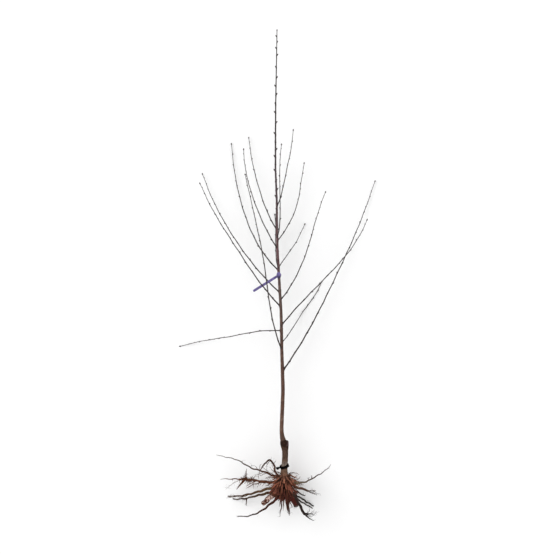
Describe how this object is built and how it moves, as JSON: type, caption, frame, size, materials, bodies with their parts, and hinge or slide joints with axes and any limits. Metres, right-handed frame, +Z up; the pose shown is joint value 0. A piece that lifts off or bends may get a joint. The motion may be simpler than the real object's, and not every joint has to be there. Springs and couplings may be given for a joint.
{
  "type": "bare-root sapling",
  "caption": "Slender grafted young tree without leaves, its side shoots upswept and its bare roots spread, lying down with a plain looped label and a tie.",
  "frame": {"origin": "on the ground, under the middle of the lying tree's outer box", "axes": "+Z up from the ground, +Y along the stem from the roots to the leading tip, +X to the right of someone who looks down on the tree with its tip away from them"},
  "size_m": [0.7997, 1.9552, 0.3234],
  "materials": {
    "stem_bark": "smooth young bark, grey-brown with pale pores, satin",
    "shoot_bark": "thin purplish grey-brown bark of one-year shoots, satin",
    "root_bark": "red-brown root bark, rough and dry",
    "label_plastic": "plain lilac plastic tape, matt",
    "tie_rubber": "near-black rubber band, matt"
  },
  "bodies": {
    "root": {"stem": "stem_bark", "shoot_right_1": "shoot_bark", "shoot_left_1": "shoot_bark", "shoot_front_1": "shoot_bark", "shoot_right_2": "shoot_bark", "shoot_left_2": "shoot_bark", "shoot_right_3": "shoot_bark", "shoot_left_3": "shoot_bark", "shoot_back_1": "shoot_bark", "shoot_front_2": "shoot_bark", "shoot_left_4": "shoot_bark", "shoot_right_4": "shoot_bark", "shoot_left_5": "shoot_bark", "shoot_right_5": "shoot_bark", "shoot_left_6": "shoot_bark", "shoot_right_6": "shoot_bark", "shoot_left_7": "shoot_bark", "shoot_right_7": "shoot_bark", "root_left_1": "root_bark", "root_left_2": "root_bark", "root_left_3": "root_bark", "root_left_4": "root_bark", "root_left_5": "root_bark", "root_left_6": "root_bark", "root_left_7": "root_bark", "root_left_8": "root_bark", "root_right_1": "root_bark", "root_right_2": "root_bark", "root_right_3": "root_bark", "root_right_4": "root_bark", "root_right_5": "root_bark", "root_right_6": "root_bark", "root_right_7": "root_bark", "root_low_1": "root_bark", "root_low_2": "root_bark", "root_low_3": "root_bark", "root_upper_1": "root_bark", "root_upper_2": "root_bark", "root_upper_3": "root_bark", "root_under_1": "root_bark", "root_under_2": "root_bark", "root_under_3": "root_bark", "root_under_4": "root_bark", "label": "label_plastic", "tie": "tie_rubber"}
  },
  "joints": []
}
